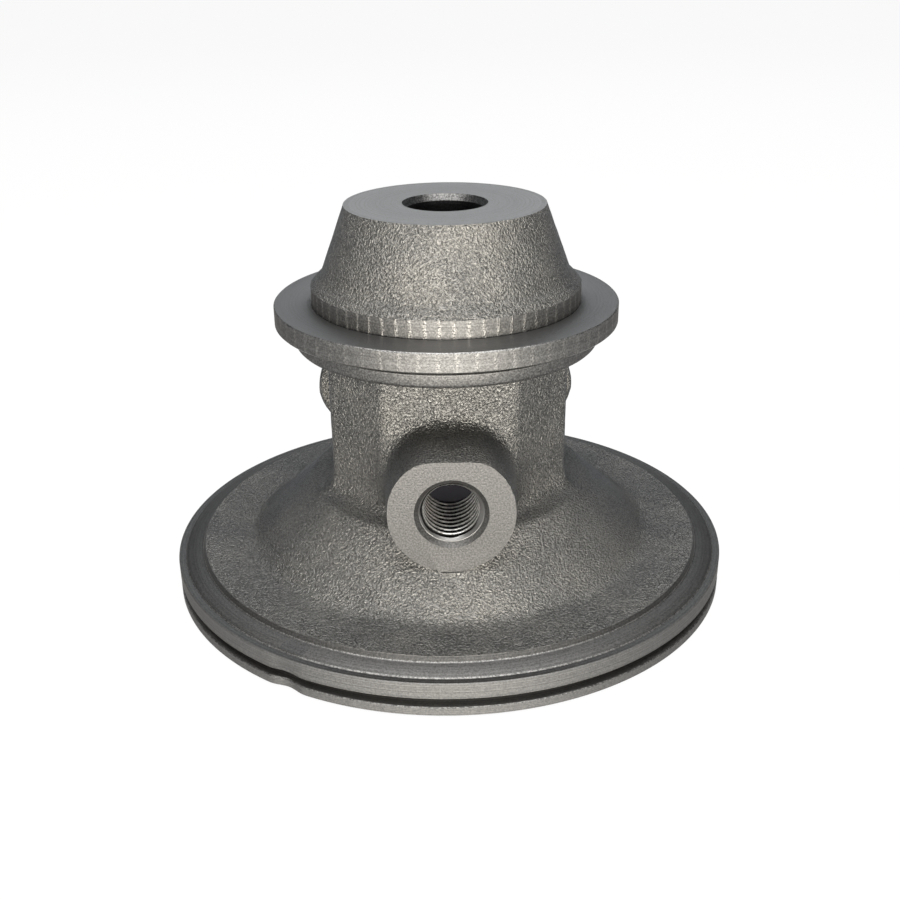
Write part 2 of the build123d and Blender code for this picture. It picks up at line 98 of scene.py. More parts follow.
# Oil inlet boss, along -Y
INLET_Z = 27.2
INLET_FACE = 34.0
BOSS_R = 11.85
BOSS_TOP = 10.4
BOSS_DRAFT = math.tan(math.radians(3.0))
BOSS_TOP_DRAFT = math.tan(math.radians(8.0))
THREAD_WALL_R = 6.0
THREAD_CREST_R = 5.2
THREAD_PITCH = 1.5
THREAD_DEPTH = 15.5
THREAD_END = THREAD_DEPTH - 0.1
CHAMFER_R = 6.86
CHAMFER_DEPTH = 0.86
THREAD_CORE_R = 5.3
OIL_PASSAGE_R = 2.2

# Oil drain flange, along +Y
DRAIN_Z = 29.0
DRAIN_FACE = 34.0
DRAIN_PLATE = 8.0
DRAIN_PAD_R = 13.4
DRAIN_EAR_R = 10.0
DRAIN_NECK_R = 12.4
DRAIN_PORT_R = 9.0
BOLT_X = 19.0
BOLT_ROOT_R = 4.0
BOLT_CREST_R = 3.4
BOLT_PITCH = 1.25
BOLT_SIDES = {-1: "left", 1: "right"}

# Turned inside
RECESS_R = 25.0
RECESS_TOP = 11.5
CHAMBER_R = 22.0
CHAMBER_TOP = 17.0
BORE_STEP_R = 9.6
BORE_STEP_TOP = 19.65
BORE_R = 6.85
BUSH_MIDDLES = (INLET_Z, 53.0)
CLIP_GROOVE_R = 7.65
CLIP_FROM_MIDDLE = 5.15
CLIP_HALF_W = 0.55
SEAL_BORE_R = 7.0
SEAL_BORE_Z = 63.0
SEAL_CHAMFER_R = 8.27
SEAL_CHAMFER_DEPTH = 2.0

# Locating notch in the rim
NOTCH_ANGLE = math.radians(-122.0)
NOTCH_HALF_W = 4.2
NOTCH_DEPTH = 0.75
NOTCH_INNER_R = 54.8
NOTCH_FULL_Z = 2.0
NOTCH_FADE = 5.0

# Marks that the turning tool left round the pilot and the flange edge
CHATTER_MARKS = 62

# Camera fitted to the photograph
CAMERA_PLACE = (-3.24, -215.8, 121.8)
CAMERA_PITCH = math.radians(24.212)
CAMERA_YAW = math.radians(0.967)
CAMERA_ROLL = math.radians(0.673)
FOCAL_PIXELS = 1130.0
PHOTO_PIXELS = 900.0
SENSOR_WIDTH = 36.0


class Value:
    """Number in a node tree, used in sums written as Python expressions."""

    def __init__(self, tree, socket):
        self.tree = tree
        self.socket = socket

    def __add__(self, other):
        return self.tree.maths("ADD", self, other)

    __radd__ = __add__

    def __sub__(self, other):
        return self.tree.maths("SUBTRACT", self, other)

    def __rsub__(self, other):
        return self.tree.maths("SUBTRACT", other, self)

    def __mul__(self, other):
        return self.tree.maths("MULTIPLY", self, other)

    __rmul__ = __mul__

    def __truediv__(self, other):
        return self.tree.maths("DIVIDE", self, other)

    def __rtruediv__(self, other):
        return self.tree.maths("DIVIDE", other, self)


class Tree:
    """Node tree whose nodes are all made by one method."""

    def __init__(self, group):
        self.group = group

    def add(self, kind, settings=None, sockets=None, output=0):
        """Makes a node with its settings first, then its sockets, and returns one output."""
        node = self.group.nodes.new(kind)
        for name, setting in (settings or {}).items():
            if name == "stops":
                self.set_stops(node.color_ramp, setting)
            else:
                setattr(node, name, setting)
        for name, value in (sockets or {}).items():
            socket = self.find(node.inputs, name)
            if isinstance(value, Value):
                self.group.links.new(value.socket, socket)
            else:
                socket.default_value = value
        return Value(self, self.find(node.outputs, output)) if node.outputs else None

    @staticmethod
    def find(sockets, name):
        """Socket by number, identifier or name."""
        if isinstance(name, int):
            return sockets[name]
        for socket in sockets:
            if socket.identifier == name:
                return socket
        return sockets[name]

    @staticmethod
    def set_stops(ramp, stops):
        while len(ramp.elements) < len(stops):
            ramp.elements.new(1.0)
        for element, (place, shade) in zip(ramp.elements, stops):
            element.position = place
            element.color = (shade, shade, shade, 1.0)

    def maths(self, operation, first, second=0.0, third=0.0, clamp=False):
        settings = {"operation": operation, "use_clamp": clamp}
        return self.add("ShaderNodeMath", settings, {0: first, 1: second, 2: third})

    def least(self, first, second, blend=0.0):
        """Smaller of two, rounded where they meet if a blend is given."""
        if blend:
            return self.maths("SMOOTH_MIN", first, second, blend)
        return self.maths("MINIMUM", first, second)

    def greatest(self, first, second, blend=0.0):
        if blend:
            return self.maths("SMOOTH_MAX", first, second, blend)
        return self.maths("MAXIMUM", first, second)

    def reach(self, first, second):
        """Distance of a point from the origin of a plane."""
        return self.maths("SQRT", first * first + second * second)

    def size(self, value):
        return self.maths("ABSOLUTE", value)

    def ranged(self, value, low, width, clamp=False):
        """Low where the value is 0, and low plus width where it is 1."""
        return self.maths("MULTIPLY_ADD", value, width, low, clamp)

    def axes(self, place):
        """Three coordinates of a place."""
        return [self.add("ShaderNodeSeparateXYZ", {}, {0: place}, axis) for axis in "XYZ"]

    def stretched(self, place, factors):
        return self.add("ShaderNodeVectorMath", {"operation": "MULTIPLY"}, {0: place, 1: factors})

    def scaled(self, place, factor):
        """Place or colour times a number."""
        return self.add("ShaderNodeVectorMath", {"operation": "SCALE"}, {0: place, "Scale": factor})

    def ramp(self, value, stops):
        """Grey shade from a value, by places and shades."""
        return self.add("ShaderNodeValToRGB", {"stops": stops}, {"Fac": value})

    def mix(self, factor, first, second, blend="MIX"):
        """Colour between two colours."""
        settings = {"data_type": "RGBA", "blend_type": blend}
        sockets = {"Factor_Float": factor, "A_Color": first, "B_Color": second}
        return self.add("ShaderNodeMix", settings, sockets, "Result_Color")


# Turned and bored shapes as meshes

def new_object(name, mesh):
    piece = bpy.data.objects.new(name, mesh)
    bpy.context.scene.collection.objects.link(piece)
    return piece


def circle(radius, height, segments):
    """Points round Z at one height."""
    angles = [2 * math.pi * step / segments for step in range(segments)]
    return [(radius * math.cos(angle), radius * math.sin(angle), height) for angle in angles]


def turned_mesh(name, profile, segments=256, place=None):
    """Closed mesh turned from a closed outline of radius and height, round Z."""
    points = []
    rings = []
    for radius, height in profile:
        start = len(points)
        if radius == 0:
            rings.append([start])
            points.append((0.0, 0.0, height))
        else:
            rings.append(list(range(start, start + segments)))
            points += circle(radius, height, segments)
    faces = []
    for low, high in zip(rings, rings[1:] + rings[:1]):
        if len(low) == 1 and len(high) == 1:
            continue
        for step in range(segments):
            after = (step + 1) % segments
            face = [low[step % len(low)], low[after % len(low)]]
            face += [high[after % len(high)], high[step % len(high)]]
            faces.append(list(dict.fromkeys(face)))
    mesh = bpy.data.meshes.new(name)
    mesh.from_pydata(points, [], faces)
    if place is not None:
        mesh.transform(place)
    mesh.update()
    return mesh


def along_y(x, near, height):
    """Turns a shape made round Z so that it points along +Y from a place."""
    return Matrix.Translation((x, near, height)) @ Matrix.Rotation(math.radians(-90), 4, "X")


def box_mesh(name, low, high):
    xs, ys, zs = zip(low, high)
    points = [(x, y, z) for x in xs for y in ys for z in zs]
    faces = [(0, 1, 3, 2), (4, 6, 7, 5), (0, 4, 5, 1), (2, 3, 7, 6), (0, 2, 6, 4), (1, 5, 7, 3)]
    mesh = bpy.data.meshes.new(name)
    mesh.from_pydata(points, [], faces)
    return mesh


def rod_profile(radius, low, high):
    return [(0, low), (radius, low), (radius, high), (0, high)]


def threaded_bore(name, wall_r, crest_r, pitch, depth, start, segments=96):
    """Sleeve of thread: ridges on a wall, from just under the mouth to a depth."""
    rows_per_turn = 12
    root_flat, flank, run_out = 0.125, 0.625, 0.2
    wall_back = wall_r + 0.5
    turns = (depth - start) / pitch
    rows = int(turns * rows_per_turn)
    points = []
    for row in range(rows + 1):
        height = start + (depth - start) * row / rows
        fade = min(1.0, (depth - height) / (run_out * pitch))
        for step in range(segments):
            angle = 2 * math.pi * step / segments
            phase = (height / pitch + step / segments) % 1.0
            ridge = abs(phase - 0.5) * 2
            form = min(max((ridge - root_flat) / flank, 0.0), 1.0)
            radius = max(wall_r - (wall_r - crest_r) * form * fade, wall_r + start - height)
            points.append((radius * math.cos(angle), radius * math.sin(angle), height))
    far = len(points)
    near = far + segments
    points += circle(wall_back, depth, segments) + circle(wall_back, start, segments)
    top = rows * segments
    faces = []
    for row in range(rows):
        low, high = row * segments, (row + 1) * segments
        for step in range(segments):
            after = (step + 1) % segments
            faces.append((low + step, high + step, high + after, low + after))
    for step in range(segments):
        after = (step + 1) % segments
        faces.append((top + step, far + step, far + after, top + after))
        faces.append((far + step, near + step, near + after, far + after))
        faces.append((near + step, step, after, near + after))
    mesh = bpy.data.meshes.new(name)
    mesh.from_pydata(points, [], faces)
    return mesh


# Materials

def new_material(name):
    material = bpy.data.materials.new(name)
    material.use_nodes = True
    material.node_tree.nodes.clear()
    return material, Tree(material.node_tree)


def finish_material(tree, sockets):
    """Principled surface on the output."""
    shader = tree.add("ShaderNodeBsdfPrincipled", {}, sockets)
    tree.add("ShaderNodeOutputMaterial", {}, {"Surface": shader})


def place_in_mm(tree):
    """Position on the piece in millimetres."""
    return tree.scaled(tree.add("ShaderNodeTexCoord", output="Object"), 1.0 / MM)


def noise(tree, place, scale, detail=2.0, roughness=0.5, distortion=0.0):
    """Noise between about 0 and 1, with its scale in cycles per millimetre."""
    sockets = {"Vector": place, "Scale": scale, "Detail": detail}
    sockets.update({"Roughness": roughness, "Distortion": distortion})
    return tree.add("ShaderNodeTexNoise", {}, sockets)


def bump(tree, height, strength, distance):
    """Normal from a height, for a rise of so many millimetres."""
    sockets = {"Strength": strength, "Distance": distance * MM, "Height": height}
    return tree.add("ShaderNodeBump", {}, sockets)


def cast_iron_material():
    """Sand-cast skin: short wormy ridges, dark pits and a warm grey metal sheen."""
    material, tree = new_material("cast_iron_skin")
    place = place_in_mm(tree)
    worms = noise(tree, place, 2.5, detail=1.0, distortion=0.6)
    grains = noise(tree, place, 4.2, roughness=0.6)
    broad = noise(tree, place, 0.09)
    shade = worms * 0.75 + grains * 0.25 + (broad - 0.5) * 0.25
    colour = tree.ramp(shade, [(0.38, 0.088), (0.50, 0.132), (0.64, 0.185)])
    cool, warm = (0.96, 0.975, 0.98, 1.0), (1.0, 0.975, 0.92, 1.0)
    colour = tree.mix(1.0, colour, tree.mix(broad, cool, warm), "MULTIPLY")
    finish_material(tree, {
        "Base Color": colour,
        "Metallic": 1.0,
        "Specular Tint": (0.45, 0.48, 0.53, 1.0),
        "Roughness": tree.ranged(grains, 0.41, 0.2),
        "Normal": bump(tree, worms + grains * 0.2, 1.0, 0.43),
    })
    return material


def turned_iron_material(name, shades, roughness, lining=0.4, ridges=0.0, edge=1.0):
    """Machined grey iron: turning lines, mottling and specks, with chatter ridges if asked for, their
    crests painted pale as a highlight.
    """
    material, tree = new_material(name)
    place = place_in_mm(tree)
    x, y, z = tree.axes(place)
    radius = tree.reach(x, y)
    lines_place = tree.add("ShaderNodeCombineXYZ", {}, {"X": radius * 3.0, "Y": z * 4.0})
    lines = noise(tree, lines_place, 1.0, roughness=0.7)
    mottle = noise(tree, place, 3.0, roughness=0.6)
    specks = noise(tree, place, 2.6, roughness=0.6)
    speck_mask = tree.ramp(specks, [(0.62, 0.0), (0.72, 1.0)])
    shade = lines * lining + mottle * (1.0 - lining)
    dark, middle, light = shades
    colour = tree.ramp(shade, [(0.38, dark), (0.50, middle), (0.62, light)])
    speck_colour = (dark * 0.6, dark * 0.6, dark * 0.58, 1.0)
    colour = tree.mix(speck_mask * 0.5, colour, speck_colour)
    height = lines * 0.025 + mottle * 0.03
    rough = tree.ranged(mottle, roughness - 0.1, 0.2)
    if ridges:
        turn = tree.maths("ARCTAN2", y, x)
        sway = noise(tree, tree.stretched(place, (0.3, 0.3, 1.2)), 1.0)
        wave = tree.maths("COSINE", turn * CHATTER_MARKS + sway * 1.6) * 0.5 + 0.5
        patches = tree.ranged(mottle, -0.9, 3.0, clamp=True)
        ridge = tree.maths("POWER", wave, 7.0) * patches
        # Ridge crests painted pale, a painted highlight; their bump and lower roughness are real.
        colour = tree.mix(ridge * (ridges * 0.35), colour, (0.5, 0.49, 0.47, 1.0))
        height = height + ridge * (0.07 * ridges)
        rough = rough - ridge * (0.12 * ridges)
    finish_material(tree, {
        "Base Color": colour,
        "Metallic": 0.97,
        "Specular Tint": (edge, edge, edge, 1.0),
        "Roughness": rough,
        "Normal": bump(tree, height, 1.0, 1.0),
    })
    return material


def thread_material(name, mouth, crest_r, root_r, mouth_r):
    """Cut thread: crests painted near-white as a highlight and roots painted near-black as shade, by
    distance from the hole's axis.
    """
    material, tree = new_material(name)
    place = place_in_mm(tree)
    x, y, z = tree.axes(place)
    inwards = y - mouth[1]
    crest = tree.greatest(mouth_r - inwards, crest_r)
    depth = (tree.reach(x - mouth[0], z - mouth[2]) - crest) / (root_r - crest_r)
    wear_and_shade_noise = noise(tree, place, 2.2, roughness=0.6)
    depth = depth + (wear_and_shade_noise - 0.5) * 0.25
    # Painted light: near-white at the crests as a highlight, near-black in the roots as shade.
    colour = tree.ramp(depth, [(0.03, 0.9), (0.16, 0.16), (0.32, 0.005)])
    # Over the chamfer at the mouth the painted crest colour is dimmed to a fifth.
    sharpness = 6.0
    chamfer_end = mouth_r - crest_r + 0.1
    chamfer = tree.ranged(inwards, chamfer_end * sharpness, -sharpness, clamp=True)
    colour = tree.mix(chamfer, colour, tree.scaled(colour, 0.2))
    finish_material(tree, {
        "Base Color": colour,
        "Metallic": 0.95,
        "Roughness": tree.ranged(wear_and_shade_noise, 0.30, 0.2),
        "Normal": bump(tree, wear_and_shade_noise, 0.5, 0.05),
    })
    return material


def painted_hole_shade_material():
    """Near-black drilled iron at the bottom of a hole: painted shade where little light reaches."""
    material, tree = new_material("shaded_drilled_iron")
    blotches = noise(tree, place_in_mm(tree), 0.8, detail=3.0, roughness=0.6)
    colour = tree.mix(blotches, (0.001, 0.001, 0.003, 1.0), (0.004, 0.004, 0.008, 1.0))
    finish_material(tree, {
        "Base Color": colour,
        "Metallic": 0.0,
        "Specular IOR Level": 0.08,
        "Roughness": tree.ranged(blotches, 0.5, 0.2),
        "Normal": bump(tree, blotches, 0.3, 0.05),
    })
    return material


def metal_material(name, shade, roughness, tint=(1.0, 1.0, 1.0)):
    """Small machined part: even metal with faint turning lines and handling marks."""
    material, tree = new_material(name)
    place = place_in_mm(tree)
    height = tree.axes(place)[2]
    lines_place = tree.add("ShaderNodeCombineXYZ", {}, {"X": height * 6.0})
    lines = noise(tree, lines_place, 1.0, roughness=0.7)
    marks = noise(tree, place, 0.5, detail=4.0, roughness=0.65)
    dark = tuple(shade * part * 0.8 for part in tint) + (1.0,)
    light = tuple(min(shade * part * 1.15, 1.0) for part in tint) + (1.0,)
    finish_material(tree, {
        "Base Color": tree.mix(marks, dark, light),
        "Metallic": 1.0,
        "Roughness": tree.ranged(marks, roughness - 0.1, 0.2),
        "Normal": bump(tree, lines, 0.3, 0.01),
    })
    return material


def rubber_material():
    """Black rubber with a fine dull skin."""
    material, tree = new_material("seal_rubber")
    skin = noise(tree, place_in_mm(tree), 3.0, detail=3.0, roughness=0.6)
    colour = tree.mix(skin, (0.012, 0.012, 0.013, 1.0), (0.03, 0.03, 0.031, 1.0))
    finish_material(tree, {
        "Base Color": colour,
        "Roughness": tree.ranged(skin, 0.5, 0.2),
        "Normal": bump(tree, skin, 0.4, 0.02),
    })
    return material


# Casting as a field of distances, in millimetres

def casting_field(tree, size, x, y, z):
    """Distance from the cast surface, negative inside the iron."""
    radius = tree.reach(x, y)
    hub = (radius - size["hub foot radius"]) * math.sin(HUB_SLOPE)
    hub = hub + (z - PLATEAU_Z) * math.cos(HUB_SLOPE)
    hub = tree.greatest(hub, z - HUB_CREST_Z, HUB_CREST_BLEND)
    body = tree.least(z - PLATEAU_Z, hub, HUB_FOOT_BLEND)

    across = tree.size(x)
    deep = tree.size(y)
    column = across - size["column half width"]
    column = tree.greatest(column, deep - COLUMN_HALF_D, COLUMN_EDGE_BLEND)
    corner = (across + deep - COLUMN_CORNER) * math.sqrt(0.5)
    column = tree.greatest(column, corner, COLUMN_EDGE_BLEND)
    column = tree.greatest(column, z - NECK_RING_TOP)
    body = tree.least(body, column, COLUMN_FOOT_BLEND)

    boss = inlet_boss_field(tree, size, x, y, z)
    blend = tree.greatest((y + INLET_FACE) * BOSS_BLEND_RISE, 0.1)
    body = tree.least(body, boss, tree.least(blend, BOSS_FOOT_BLEND))
    body = tree.least(body, drain_flange_field(tree, size, x, y, z), DRAIN_FOOT_BLEND)

    neck = tree.greatest(radius - NECK_RING_R, NECK_RING_Z - z, NECK_EDGE_BLEND)
    neck = tree.greatest(neck, z - NECK_RING_TOP)
    body = tree.least(body, neck, NECK_FOOT_BLEND)

    lean = (NOSE_FOOT_R - NOSE_TOP_R) / (TOTAL_H - PILOT_TOP - CROWN_ALLOWANCE)
    nose = (radius - NOSE_FOOT_R + (z - PILOT_TOP) * lean) / math.hypot(1.0, lean)
    nose = tree.greatest(nose, NOSE_BASE_Z - z)
    shoulder = (radius - PILOT_R - PILOT_ALLOWANCE) * math.cos(SHOULDER_LEAN)
    shoulder = shoulder + (z - PILOT_TOP) * math.sin(SHOULDER_LEAN)
    shoulder = tree.greatest(shoulder, z - SHOULDER_TOP, SHOULDER_EDGE_BLEND)
    shoulder = tree.greatest(shoulder, tree.greatest(radius - SHOULDER_R, NOSE_BASE_Z - z))
    body = tree.least(body, tree.least(nose, shoulder, NOSE_FOOT_BLEND))
    return tree.greatest(body, 0.0 - cavity_field(tree, x, y, z), CAVITY_BLEND)


def inlet_boss_field(tree, size, x, y, z):
    """Round boss with draft and a flat top."""
    up = z - INLET_Z
    out = (y + INLET_FACE) * BOSS_DRAFT
    boss = tree.reach(x, up) - size["boss radius"] - out
    flat_top = up - BOSS_TOP - (y + INLET_FACE) * BOSS_TOP_DRAFT
    boss = tree.greatest(boss, flat_top, BOSS_EDGE_BLEND)
    boss = tree.greatest(boss, -INLET_FACE - FACING_ALLOWANCE - y)
    return tree.greatest(boss, y)


def drain_flange_field(tree, size, x, y, z):
    """Two-eared plate on a round neck."""
    up = z - DRAIN_Z
    across = tree.size(x)
    slope = (DRAIN_PAD_R - DRAIN_EAR_R) / BOLT_X
    side = math.sqrt(1.0 - slope * slope)
    along = across - tree.size(up) * (slope / side)
    along = tree.greatest(tree.least(along, BOLT_X), 0.0)
    plate = tree.reach(up, across - along) - DRAIN_PAD_R + along * slope
    plate = tree.greatest(plate, DRAIN_FACE - DRAIN_PLATE - y, DRAIN_EDGE_BLEND)
    plate = tree.greatest(plate, y - DRAIN_FACE - FACING_ALLOWANCE)
    neck = tree.greatest(tree.reach(x, up) - size["drain neck radius"], 0.0 - y)
    neck = tree.greatest(neck, y - DRAIN_FACE)
    return tree.least(plate, neck, DRAIN_NECK_BLEND)


def cavity_field(tree, x, y, z):
    """Cast oil spaces round the two bearing bosses, open to the drain."""
    floor_z, low_top, high_floor, high_top, throw_top = 20.5, 34.3, 45.9, 60.1, 66.0
    low_space_r, low_boss_r = 16.5, 11.0
    high_space_r, high_boss_r = 15.0, 10.5
    web_half_w, web_back, rear_start = 5.0, 7.6, 3.0
    overlap, edge_blend, web_blend, port_blend = 1.0, 0.8, 1.0, 1.2
    radius = tree.reach(x, y)
    web = tree.greatest(tree.size(x) - web_half_w, y + web_back)
    central = tree.greatest(tree.greatest(radius - low_space_r, low_top - z), z - high_floor)
    central = tree.greatest(central, 0.0 - web, web_blend)
    lower = tree.greatest(radius - low_space_r, low_boss_r - radius)
    lower = tree.greatest(lower, tree.greatest(floor_z - z, z - low_top - overlap))
    upper = tree.greatest(radius - high_space_r, high_boss_r - radius)
    upper = tree.greatest(upper, tree.greatest(high_floor - overlap - z, z - high_top - overlap))
    rear = tree.greatest(tree.least(lower, upper), rear_start - y)
    throw = tree.greatest(tree.greatest(radius - high_space_r, high_top - z), z - throw_top)
    space = tree.least(central, rear, edge_blend)
    space = tree.least(space, throw, edge_blend)
    boss = tree.greatest(radius - low_boss_r, z - low_top)
    port = tree.greatest(tree.reach(x, z - DRAIN_Z) - DRAIN_PORT_R, rear_start - y)
    port = tree.greatest(port, 0.0 - boss, edge_blend)
    return tree.least(space, port, port_blend)


def casting_tree(sizes):
    """Geometry Nodes tree that fills a box with the casting and gives its surface."""
    group = bpy.data.node_groups.new("cast_iron_body", "GeometryNodeTree")
    for name, value in sizes.items():
        socket = group.interface.new_socket(name, in_out="INPUT", socket_type="NodeSocketFloat")
        socket.default_value = value
    group.interface.new_socket("Geometry", in_out="OUTPUT", socket_type="NodeSocketGeometry")
    tree = Tree(group)
    size = {name: tree.add("NodeGroupInput", output=name) for name in sizes}
    place = tree.add("GeometryNodeInputPosition")
    x, y, z = tree.axes(place)
    swell = noise(tree, place, size["relief per mm"], roughness=0.55)
    field = casting_field(tree, size, x, y, z) + (swell - 0.5) * size["relief height"]
    ramp_width = 3.0 * CASTING_GRID
    density = tree.ranged(field, 0.5, -1.0 / ramp_width, clamp=True)
    sockets = {"Density": density, "Min": CASTING_LOW, "Max": CASTING_HIGH}
    for axis, bottom, top in zip("XYZ", CASTING_LOW, CASTING_HIGH):
        sockets[f"Resolution {axis}"] = int(round((top - bottom) / CASTING_GRID)) + 1
    volume = tree.add("GeometryNodeVolumeCube", {}, sockets)
    sockets = {"Volume": volume, "Threshold": 0.5}
    surface = tree.add("GeometryNodeVolumeToMesh", {"resolution_mode": "GRID"}, sockets)
    real = tree.add("GeometryNodeRealizeInstances", {}, {"Geometry": surface})
    painted = tree.add("GeometryNodeSetMaterial", {}, {"Geometry": real, "Material": cast_iron})
    tree.add("NodeGroupOutput", {}, {"Geometry": painted})
    return group


def apply_modifiers(piece):
    """Gives a piece its evaluated mesh and removes its modifiers."""
    graph = bpy.context.evaluated_depsgraph_get()
    mesh = bpy.data.meshes.new_from_object(piece.evaluated_get(graph))
    piece.modifiers.clear()
    piece.data = mesh


def cut(piece, mesh, material):
    """Takes a closed shape away from a piece and gives the cut faces its material."""
    mesh.materials.clear()
    mesh.materials.append(material)
    fix_normals(mesh)
    tool = new_object("cutting_tool", mesh)
    step = piece.modifiers.new("cut", "BOOLEAN")
    step.operation = "DIFFERENCE"
    step.solver = "MANIFOLD"
    step.material_mode = "TRANSFER"
    step.object = tool
    apply_modifiers(piece)
    bpy.data.objects.remove(tool)


def fix_normals(mesh):
    """Turns a closed mesh's faces outwards."""
    work = bmesh.new()
    work.from_mesh(mesh)
    bmesh.ops.recalc_face_normals(work, faces=work.faces)
    work.to_mesh(mesh)
    work.free()


def finish_piece(piece, angle=32.0):
    """Scales a piece to metres, smooths it between its edges and puts it on the housing."""
    piece.data.transform(Matrix.Scale(MM, 4))
    piece.data.shade_smooth()
    piece.data.set_sharp_from_angle(angle=math.radians(angle))
    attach(piece, "housing")
    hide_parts(HOUSING)


def make_casting():
    """Cast surfaces from the field, then every machined cut."""
    sizes = {
        "hub foot radius": HUB_FOOT_R,
        "column half width": COLUMN_HALF_W,
        "boss radius": BOSS_R,
        "drain neck radius": DRAIN_NECK_R,
        "relief height": RELIEF_HEIGHT,
        "relief per mm": RELIEF_PER_MM,
    }
    piece = new_object("housing_casting", bpy.data.meshes.new("housing_casting"))
    step = piece.modifiers.new("casting", "NODES")
    step.node_group = casting_tree(sizes)
    for item in step.node_group.interface.items_tree:
        if item.in_out == "INPUT":
            step[item.identifier] = sizes[item.name]
    apply_modifiers(piece)
    turn_outside(piece)
    turn_inside(piece)
    machine_inlet(piece)
    machine_drain(piece)
    finish_piece(piece, 36.0)


def turn_outside(piece):
    """Clears the room for the rim, then turns the pilot and the crown."""
    below, above = -2, 90
    rim_clear_r, rim_clear_z = 80, 14
    rim = [(PLATEAU_R, below), (rim_clear_r, below)]
    rim += [(rim_clear_r, rim_clear_z), (PLATEAU_R, rim_clear_z)]
    cut(piece, turned_mesh("rim_cut", rim), turned_iron)
    neck_r, neck_z, pilot_foot, flange_clear_r = 28.5, 53.3, 56, 70
    pilot = [(neck_r, neck_z), (flange_clear_r, neck_z), (flange_clear_r, above)]
    pilot += [(PILOT_R, above), (PILOT_R, pilot_foot), (neck_r, pilot_foot)]
    cut(piece, turned_mesh("pilot_cut", pilot), pilot_iron)
    crown_clear_r = 24
    crown = rod_profile(crown_clear_r, TOTAL_H, above)
    cut(piece, turned_mesh("crown_cut", crown), faced_iron)


def turn_inside(piece):
    """Recess, thrust chamber, journal bore with its circlip grooves, and the seal bore."""
    below, rim_back, rim_inner_r, bore_end = -2, 7.6, 26.5, 64
    bore = [(0, below), (rim_inner_r, below), (rim_inner_r, rim_back), (RECESS_R, rim_back)]
    bore += [(RECESS_R, RECESS_TOP), (CHAMBER_R, RECESS_TOP), (CHAMBER_R, CHAMBER_TOP)]
    bore += [(BORE_STEP_R, CHAMBER_TOP), (BORE_STEP_R, BORE_STEP_TOP), (BORE_R, BORE_STEP_TOP)]
    for bush_z in BUSH_MIDDLES:
        for side in (-1, 1):
            middle = bush_z + side * CLIP_FROM_MIDDLE
            bore += [(BORE_R, middle - CLIP_HALF_W), (CLIP_GROOVE_R, middle - CLIP_HALF_W)]
            bore += [(CLIP_GROOVE_R, middle + CLIP_HALF_W), (BORE_R, middle + CLIP_HALF_W)]
    bore += [(BORE_R, bore_end), (0, bore_end)]
    cut(piece, turned_mesh("bore_cut", bore), turned_iron)

    lean = (SEAL_CHAMFER_R - SEAL_BORE_R) / SEAL_CHAMFER_DEPTH
    chamfer_z = TOTAL_H - SEAL_CHAMFER_DEPTH
    # The seal bore's wall gets the near-black bore finish up to just under its chamfer, painted shade
    # inside the bore.
    dark_rise, mouth_rise, beyond = 0.75, 0.7, 1.0
    seal = [(0, SEAL_BORE_Z), (SEAL_BORE_R, SEAL_BORE_Z), (SEAL_BORE_R, chamfer_z)]
    seal += [(SEAL_BORE_R + lean * dark_rise, chamfer_z + dark_rise), (0, chamfer_z + dark_rise)]
    cut(piece, turned_mesh("seal_bore_cut", seal), shaded_bore_iron)
    mouth = [(0, chamfer_z + mouth_rise), (SEAL_BORE_R + lean * mouth_rise, chamfer_z + mouth_rise)]
    mouth += [(SEAL_CHAMFER_R + lean * beyond, TOTAL_H + beyond), (0, TOTAL_H + beyond)]
    cut(piece, turned_mesh("mouth_cut", mouth), mouth_iron)


def machine_inlet(piece):
    """Boss face, oil passage and the hole that takes the thread."""
    low, high = (-15, -60, 15.3), (15, -INLET_FACE, 45)
    cut(piece, box_mesh("boss_face_cut", low, high), spot_faced_iron)
    place = along_y(0, -INLET_FACE, INLET_Z)
    core_start, core_foot, passage_end = 5, THREAD_DEPTH + 1.1, 20.5
    core = [(0, core_start), (THREAD_CORE_R, core_start), (THREAD_CORE_R, THREAD_DEPTH)]
    core += [(OIL_PASSAGE_R, core_foot), (OIL_PASSAGE_R, passage_end), (0, passage_end)]
    # The hole's bottom and the oil passage get the near-black finish, painted shade deep in the hole.
    cut(piece, turned_mesh("inlet_cut", core, 96, place), painted_hole_shade)
    before, mouth_r = -2, CHAMFER_R + 0.02
    hole = [(0, before), (mouth_r, before), (mouth_r, 0.0), (THREAD_WALL_R, CHAMFER_DEPTH)]
    hole += [(THREAD_WALL_R, THREAD_END), (0, THREAD_END)]
    cut(piece, turned_mesh("thread_cut", hole, 128, place), spot_faced_iron)


def machine_drain(piece):
    """Drain face and its two bolt holes."""
    low, high = (-32, DRAIN_FACE, 15.4), (32, 60, 45)
    cut(piece, box_mesh("drain_face_cut", low, high), spot_faced_iron)
    hole = rod_profile(BOLT_ROOT_R, -2, DRAIN_PLATE + 2)
    for side in BOLT_SIDES:
        cut(piece, turned_mesh("bolt_cut", hole, 64, along_y(*bolt_hole(side))), turned_iron)


def bolt_hole(side):
    """Middle of a drain bolt hole at the back of the plate."""
    return side * BOLT_X, DRAIN_FACE - DRAIN_PLATE, DRAIN_Z


def turned_piece(name, outline, materials, segments):
    """Turned piece, from an outline of radius, height and the finish of the face that ends there."""
    profile = [point[:2] for point in outline]
    piece = new_object(name, turned_mesh(name, profile, segments))
    fix_normals(piece.data)
    for material in materials:
        piece.data.materials.append(material)
    for face in piece.data.polygons:
        end = (face.index // segments + 1) % len(outline)
        face.material_index = outline[end][2]
    return piece


